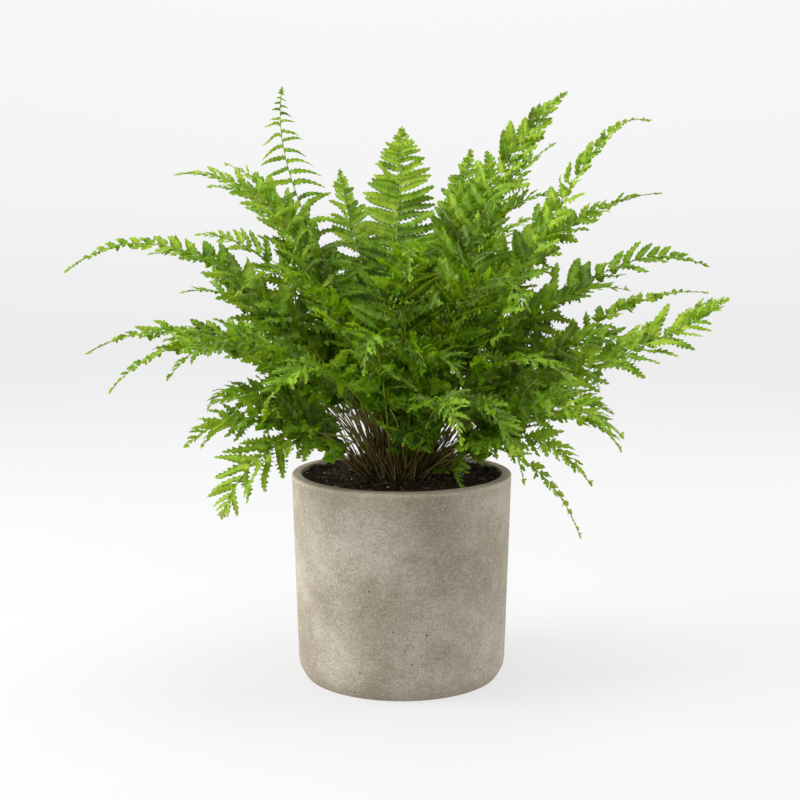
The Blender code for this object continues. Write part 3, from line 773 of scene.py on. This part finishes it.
def concrete_material():
    m = Nodes("concrete")
    place = m.place()
    drawn = m.add("Mapping", {"Vector": place, "Scale": (1, 1, 1.2)}, vector_type="POINT")
    clouds = m.noise(13, 5, 0.5, drawn, 0.3)
    patches = m.noise(30, 6, 0.66, drawn, 0.2)
    spots = m.noise(95, 5, 0.7, drawn)
    grain = m.noise(620, 4, 0.75, drawn)
    sand = m.noise(1500, 2, 0.6, place)
    dark, middle, pale = (0.237, 0.204, 0.151), (0.327, 0.29, 0.225), (0.425, 0.393, 0.327)
    colour = m.ramp(clouds, ((0.32, dark), (0.5, middle), (0.68, pale)))
    colour = m.mix(m.ramp(patches, ((0.34, 0.32), (0.54, 0.0))), colour, (0.212, 0.176, 0.127))
    colour = m.mix(m.ramp(patches, ((0.52, 0.0), (0.74, 0.42))), colour, (0.491, 0.462, 0.4))
    colour = m.mix(m.ramp(spots, ((0.3, 0.5), (0.47, 0.0))), colour, (0.19, 0.16, 0.115))
    colour = m.mix(m.ramp(spots, ((0.56, 0.0), (0.76, 0.5))), colour, (0.49, 0.46, 0.4))
    height = m.math("DIVIDE", m.add("SeparateXYZ", {0: place}, 2), POT_HEIGHT)
    rising = m.math("ADD", height, m.math("MULTIPLY_ADD", patches, 0.14, -0.07))
    ends = m.ramp(rising, ((0.0, 0.4), (0.12, 0.0), (0.9, 0.0), (1.0, 0.4)))
    colour = m.mix(ends, colour, (0.245, 0.184, 0.123))
    # painted highlight: a pale band along the rim's rounded outer edge, broken up by the patches
    painted_rim_highlight = m.ramp(height, ((0.972, 0.0), (0.985, 0.55), (0.991, 0.55), (0.996, 0.0)))
    colour = m.mix(m.math("MULTIPLY", painted_rim_highlight, patches), colour, (0.58, 0.54, 0.46))
    colour = m.mix(m.ramp(grain, ((0.36, 0.55), (0.5, 0.0))), colour, (0.164, 0.135, 0.0978))
    colour = m.mix(m.ramp(grain, ((0.52, 0.0), (0.68, 0.55))), colour, (0.507, 0.475, 0.4))
    colour = m.mix(m.ramp(sand, ((0.36, 0.4), (0.5, 0.0))), colour, (0.172, 0.143, 0.106))
    dots = m.ramp(m.voronoi(430), ((0.12, 1.0), (0.22, 0.0)))
    specks = m.math("MULTIPLY", dots, m.ramp(m.noise(26, 2), ((0.45, 0.15), (0.65, 1.0))))
    colour = m.mix(m.math("MULTIPLY", specks, 0.6), colour, (0.09, 0.0736, 0.0532))
    # painted shade: small pits are dented by the bump and darkened inside
    pit_field = m.math("ADD", m.voronoi(120), m.math("MULTIPLY_ADD", m.noise(50, 2), 0.36, -0.16))
    pits_painted_shade = m.ramp(pit_field, ((0.05, 1.0), (0.085, 0.0)))
    colour = m.mix(m.math("MULTIPLY", pits_painted_shade, 0.8), colour, (0.0409, 0.0327, 0.0245))
    rough = m.math("ADD", m.math("MULTIPLY", grain, 0.8), m.math("MULTIPLY", patches, 0.4))
    rough = m.math("SUBTRACT", rough, m.math("MULTIPLY", m.math("MAXIMUM", pits_painted_shade, specks), 1.2))
    roughness = m.ramp(patches, ((0.3, 0.92), (0.7, 0.78)))
    m.set(Base_Color=colour, Roughness=roughness, Normal=m.bump(rough, 0.6, 0.5 * MM))
    m.shader.inputs["Specular IOR Level"].default_value = 0.25
    return m.material


def soil_material(name, dark, light):
    m = Nodes(name)
    grain = m.noise(560, 5, 0.75)
    shade = m.add("SeparateXYZ", {0: m.voronoi(330, "Color")}, 0)
    mid = tuple((a + b) / 2.6 for a, b in zip(dark, light))
    colour = m.ramp(grain, ((0.38, dark), (0.52, mid), (0.7, light)))
    colour = m.mix(m.ramp(shade, ((0.3, 0.6), (0.7, 0.0))), colour, dark)
    colour = m.mix(m.ramp(shade, ((0.9, 0.0), (0.97, 0.5))), colour, tuple(min(1, 2.6 * c) for c in light))
    m.set(Base_Color=colour, Roughness=0.9, Normal=m.bump(grain, 0.8, 0.8 * MM))
    m.shader.inputs["Specular IOR Level"].default_value = 0.15
    return m.material


def grit_material():
    m = Nodes("pale_grit")
    grain = m.noise(300, 3, 0.6)
    colour = m.mix(grain, (0.4, 0.34, 0.26), (0.28, 0.238, 0.182))
    m.set(Base_Color=colour, Roughness=0.8, Normal=m.bump(grain, 0.4, 0.3 * MM))
    return m.material


def new_object(name, points, faces, material):
    mesh = bpy.data.meshes.new(name)
    mesh.from_pydata([tuple(p) for p in points], [], faces)
    mesh.materials.append(material)
    mesh.shade_smooth()
    mesh.update()
    obj = bpy.data.objects.new(name, mesh)
    bpy.context.scene.collection.objects.link(obj)
    return obj


def revolved(profile, sides):
    """(points, faces) of a closed solid of revolution. profile runs (radius, height) from axis to axis."""
    rings = profile[1:-1]
    points = [(0, 0, profile[0][1])]
    angles = np.arange(sides) * math.tau / sides
    for r, z in rings:
        points += [(r * math.cos(a), r * math.sin(a), z) for a in angles]
    points.append((0, 0, profile[-1][1]))
    faces = [(0, 1 + (a + 1) % sides, 1 + a) for a in range(sides)]
    for i in range(len(rings) - 1):
        p, q = 1 + i * sides, 1 + (i + 1) * sides
        faces += [(p + a, p + (a + 1) % sides, q + (a + 1) % sides, q + a) for a in range(sides)]
    top, last = len(points) - 1, 1 + (len(rings) - 1) * sides
    faces += [(last + a, last + (a + 1) % sides, top) for a in range(sides)]
    return points, faces


def inner_radius(height):
    taper = (RIM_RADIUS - FOOT_RADIUS) / (POT_HEIGHT - FOOT_BEVEL_HEIGHT)
    return RIM_RADIUS - WALL - taper * (POT_HEIGHT - height)


def arc(centre, radius, start, stop, steps):
    angles = np.radians(np.linspace(start, stop, steps))
    return [(centre[0] + radius * math.cos(a), centre[1] + radius * math.sin(a)) for a in angles]


# The rounded foot, as (distance out from the sole's edge, height) in millimetres
FOOT_PROFILE = ((-1, 0), (0.5, 0.3), (1.6, 1.8), (3.4, 5), (5.1, 8.5))
RIM_ROUND = 1.6 * MM
POT_SIDES = 144


def fine_pot(material):
    edge = RIM_ROUND
    profile = [(0, 0), (SOLE_RADIUS * 0.5, 0)]
    profile += [(SOLE_RADIUS + out * MM, height * MM) for out, height in FOOT_PROFILE]
    profile.append((FOOT_RADIUS + 0.15 * MM, FOOT_BEVEL_HEIGHT + 3 * MM))
    low, high = FOOT_BEVEL_HEIGHT + 3 * MM, POT_HEIGHT - 4 * MM
    flare, wall_height = RIM_RADIUS - FOOT_RADIUS, POT_HEIGHT - FOOT_BEVEL_HEIGHT
    for share in np.linspace(0, 1, 24)[1:]:
        z = low + (high - low) * share
        profile.append((FOOT_RADIUS + flare * (z - FOOT_BEVEL_HEIGHT) / wall_height, z))
    profile += arc((RIM_RADIUS - edge, POT_HEIGHT - edge), edge, 0, 90, 6)
    profile += arc((RIM_RADIUS - WALL + edge, POT_HEIGHT - edge), edge, 90, 180, 6)
    for z in np.linspace(POT_HEIGHT - 3 * MM, FLOOR_THICKNESS + 0.5 * MM, 20):
        profile.append((inner_radius(z), z))
    profile += [(inner_radius(FLOOR_THICKNESS) * 0.5, FLOOR_THICKNESS), (0, FLOOR_THICKNESS)]
    points, faces = revolved(profile, POT_SIDES)
    return new_object("pot_fine", points, faces, material)


def rough_height(points, draw, waves):
    """Sums of random ripples over (x, y) points, where waves holds (count, wavelength, height)."""
    total = np.zeros(len(points))
    for count, wavelength, height in waves:
        for _ in range(count):
            angle, phase = draw.uniform(0, math.tau, 2)
            k = math.tau / (wavelength * draw.uniform(0.7, 1.4))
            ripple = np.sin(k * (points @ [math.cos(angle), math.sin(angle)]) + phase)
            total += height / math.sqrt(count) * ripple
    return total


SOIL_SEED, SOIL_SIDES, SOIL_RINGS = 5, 220, 46
CROWN_SEED, CROWN_SIDES, CROWN_RINGS = 6, 160, 34
CROWN_HEAP, CROWN_HEAP_WIDTH = 3 * MM, 20 * MM
WALL_HEAP, WALL_HEAP_WIDTH = 3.2 * MM, 13 * MM
# Ripples as (count, wavelength, height)
SOIL_WAVES = ((6, 30 * MM, 0.8 * MM), (10, 9 * MM, 0.6 * MM), (16, 3.4 * MM, 0.6 * MM))
CROWN_WAVES = ((10, 9 * MM, 0.9 * MM), (16, 3.5 * MM, 0.9 * MM))


def soil_height(r):
    """How high the soil stands at a distance from the middle: heaped at the crown and by the pot's wall."""
    to_wall = np.clip(1 - (inner_radius(SOIL_TOP) - r) / WALL_HEAP_WIDTH, 0, 1)
    to_crown = np.clip(1 - (r - CROWN_RADIUS) / CROWN_HEAP_WIDTH, 0, 1)
    return SOIL_TOP + CROWN_HEAP * to_crown + WALL_HEAP * to_wall**1.5


def mound_faces(rings, sides):
    """Faces between rings of points from the inner one out, then down to one more ring and across it."""
    faces = []
    for i in range(rings - 1):
        p, q = i * sides, (i + 1) * sides
        for a in range(sides):
            b = (a + 1) % sides
            faces += [(p + a, q + a, q + b), (p + a, q + b, p + b)]
    last, low = (rings - 1) * sides, rings * sides
    faces += [(last + a, low + a, low + (a + 1) % sides, last + (a + 1) % sides) for a in range(sides)]
    faces.append(tuple(range(low, low + sides))[::-1])
    return faces


def fine_soil(material):
    """The soil's top as rough grains from the crown to the pot, with its sides and bottom."""
    draw = np.random.default_rng(SOIL_SEED)
    sides, edge = SOIL_SIDES, inner_radius(SOIL_TOP) - 0.3 * MM
    angles = np.arange(sides) * math.tau / sides
    points = []
    for i, r in enumerate(np.linspace(CROWN_RADIUS - 4 * MM, edge, SOIL_RINGS)):
        turn = 0.5 * (i % 2) * math.tau / sides
        points += [(r * math.cos(a + turn), r * math.sin(a + turn)) for a in angles]
    flat = np.array(points) + draw.normal(0, 0.25 * MM, (len(points), 2))
    r = np.linalg.norm(flat, axis=1)
    z = soil_height(r) + rough_height(flat, draw, SOIL_WAVES)
    z += draw.normal(0, 0.3 * MM, len(z))
    tops = np.column_stack([flat, z])
    low = FLOOR_THICKNESS + 0.5 * MM
    bottom = [(edge * 0.97 * math.cos(a), edge * 0.97 * math.sin(a), low) for a in angles]
    return new_object("soil_fine", [*tops, *bottom], mound_faces(SOIL_RINGS, sides), material)


def fine_crown(material):
    """The rootstock as a rough scaly dome."""
    draw = np.random.default_rng(CROWN_SEED)
    sides, radii = CROWN_SIDES, np.linspace(0.5 * MM, CROWN_RADIUS, CROWN_RINGS)
    angles = np.arange(sides) * math.tau / sides
    flat = np.array([(r * math.cos(a), r * math.sin(a)) for r in radii for a in angles])
    z = np.array([crown_top(x, y) for x, y in flat])
    z += rough_height(flat, draw, CROWN_WAVES) + draw.normal(0, 0.35 * MM, len(z))
    low = [(x * 0.85, y * 0.85, SOIL_TOP - 11 * MM) for x, y in flat[-sides:]]
    faces = [*mound_faces(CROWN_RINGS, sides), tuple(range(sides))[::-1]]
    return new_object("crown_fine", [*np.column_stack([flat, z]), *low], faces, material)


# A crumb's eight corners and six faces
GRAIN = [(-1, -1, -1), (1, -1, -1), (1, 1, -1), (-1, 1, -1), (-1, -1, 1), (1, -1, 1), (1, 1, 1), (-1, 1, 1)]
GRAIN_FACES = [(0, 3, 2, 1), (4, 5, 6, 7), (0, 1, 5, 4), (1, 2, 6, 5), (2, 3, 7, 6), (3, 0, 4, 7)]


def crumbs(name, count, sizes, material, seed, low=0.0):
    """Loose crumbs lying on the soil, each an uneven block of sizes in millimetres."""
    draw = np.random.default_rng(seed)
    points, faces = [], []
    edge = inner_radius(SOIL_TOP) - 3 * MM
    for i in range(count):
        r, a = edge * math.sqrt(draw.uniform(low, 1)), draw.uniform(0, math.tau)
        z = max(crown_top(r * math.cos(a), r * math.sin(a)), soil_height(r))
        size = draw.uniform(*sizes) * MM
        block = np.array(GRAIN) * draw.uniform(0.3, 0.6, (8, 3)) * size
        way = unit(draw.normal(0, 1, 3))
        middle = (r * math.cos(a), r * math.sin(a), z + 0.15 * size)
        block = rotated(block, way, draw.uniform(0, 360)) + middle
        faces += [tuple(8 * i + k for k in face) for face in GRAIN_FACES]
        points += [tuple(p) for p in block]
    obj = new_object(name, points, faces, material)
    obj.data.shade_flat()
    return obj


CAMERA_PLACE = (-0.0013, -1.1, 0.3695)
CAMERA_DOWN = 8.0  # how far the camera looks down, in degrees
SENSOR_WIDTH, LENS = 36, 64.8  # in millimetres


def add_camera():
    data = bpy.data.cameras.new("camera")
    data.sensor_width = SENSOR_WIDTH
    data.lens = LENS
    obj = bpy.data.objects.new("camera", data)
    obj.location = CAMERA_PLACE
    obj.rotation_euler = (math.radians(90 - CAMERA_DOWN), 0, 0)
    bpy.context.scene.collection.objects.link(obj)
    bpy.context.scene.camera = obj


# Square lights as (name, place, what it is aimed at, side, power in watts)
LIGHTS = (
    ("key", (-1.4, -0.25, 0.85), (0, 0, 0.25), 0.9, 35),
    ("side", (1.4, 0.3, 0.65), (0, 0, 0.25), 0.8, 11),
    ("top", (0.1, 0.0, 1.8), (0, 0, 0.2), 0.9, 23),
    ("backdrop", (0, 1.4, 2.4), (0, 3.2, 0.7), 2.2, 22),
)
WORLD_STRENGTH = 0.07
# How bright the studio is by itself, from the floor up to GLOW_HEIGHT
GLOW = ((0.0, 0.845), (0.2, 0.92), (0.5, 0.96), (1.0, 1.0))
GLOW_HEIGHT = 2.0
GLOW_STRENGTH = 0.815
# The studio is a round floor that bends up into a wall
FLOOR_RADIUS, BEND_RADIUS, WALL_TOP, STUDIO_SIDES = 2.3, 1.0, 4.0, 96


def add_light(name, location, aim, size, power):
    data = bpy.data.lights.new(name, "AREA")
    data.shape = "SQUARE"
    data.size = size
    data.energy = power
    obj = bpy.data.objects.new(name, data)
    obj.location = location
    way = np.array(aim) - np.array(location)
    flat = math.hypot(way[0], way[1])
    obj.rotation_euler = (math.atan2(flat, -way[2]), 0, math.atan2(way[1], way[0]) - math.pi / 2)
    bpy.context.scene.collection.objects.link(obj)


def add_stage():
    m = Nodes("studio_floor")
    m.set(Base_Color=(0.14, 0.14, 0.14, 1), Roughness=0.9)
    rise = m.add("SeparateXYZ", {0: m.place()}, 2)
    glow = m.ramp(m.math("DIVIDE", rise, GLOW_HEIGHT), GLOW)
    m.feed(m.shader.inputs["Emission Color"], glow)
    m.shader.inputs["Specular IOR Level"].default_value = 0.0
    m.shader.inputs["Emission Strength"].default_value = GLOW_STRENGTH
    flat, bend, sides = FLOOR_RADIUS, BEND_RADIUS, STUDIO_SIDES
    line = [(flat + bend * math.sin(a), bend * (1 - math.cos(a))) for a in np.linspace(0, math.pi / 2, 14)]
    line.append((flat + bend, WALL_TOP))
    angles = np.arange(sides) * math.tau / sides
    points = [(0, 0, 0)] + [(r * math.cos(a), r * math.sin(a), z) for r, z in line for a in angles]
    faces = [(0, 1 + a, 1 + (a + 1) % sides) for a in range(sides)]
    for i in range(len(line) - 1):
        p, q = 1 + i * sides, 1 + (i + 1) * sides
        faces += [(p + a, q + a, q + (a + 1) % sides, p + (a + 1) % sides) for a in range(sides)]
    floor = new_object("studio_floor", points, faces, m.material)
    world = bpy.data.worlds.new("studio")
    bpy.context.scene.world = world
    world.use_nodes = True
    background = world.node_tree.nodes["Background"]
    background.inputs[0].default_value = (1, 1, 1, 1)
    background.inputs[1].default_value = WORLD_STRENGTH
    for light in LIGHTS:
        add_light(*light)


def main():
    bpy.context.scene.view_settings.view_transform = "Standard"
    materials = (fern_material(), stalk_material())
    fronds = [*OUTLINE_FRONDS, *fan_fronds()]
    shapes = []
    for i, (frond, foot) in enumerate(zip(fronds, stalk_feet(fronds))):
        node = f"frond_{i + 1:02d}"
        shape, bends = fitted_shape(frond, foot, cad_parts[node])
        usual = Leafing(early=EARLY if i >= len(OUTLINE_FRONDS) else 0)
        leafing, branches = LEAFING.get(i + 1, usual), BRANCHES.get(i + 1, ())
        piece = fine_frond(f"{node}_fine", shape, bends, materials, i, leafing, branches)
        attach(piece, "root")
        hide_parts(node)
        shapes.append(shape)
    for kind in OLD_STALKS:
        piece = old_stalks(kind, shapes, materials[1])
        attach(piece, "root")
    pot = fine_pot(concrete_material())
    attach(pot, "root")
    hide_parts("pot")
    earth = soil_material("potting_soil", (0.006, 0.0038, 0.0016), (0.07, 0.043, 0.02))
    grit = grit_material()
    root = soil_material("rootstock", (0.008, 0.004, 0.002), (0.085, 0.045, 0.022))
    pieces = (
        (fine_soil(earth), "soil", "potting_soil"),
        (fine_crown(root), "crown", "rootstock"),
        (crumbs("soil_crumbs", 2600, (0.6, 2.2), earth, 31), None, "potting_soil"),
        (crumbs("pale_grit", 26, (0.8, 1.6), grit, 32, 0.2), None, "potting_soil"),
    )
    for piece, node, slot in pieces:
        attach(piece, "root")
        if node:
            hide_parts(node)
    add_camera()
    add_stage()


main()
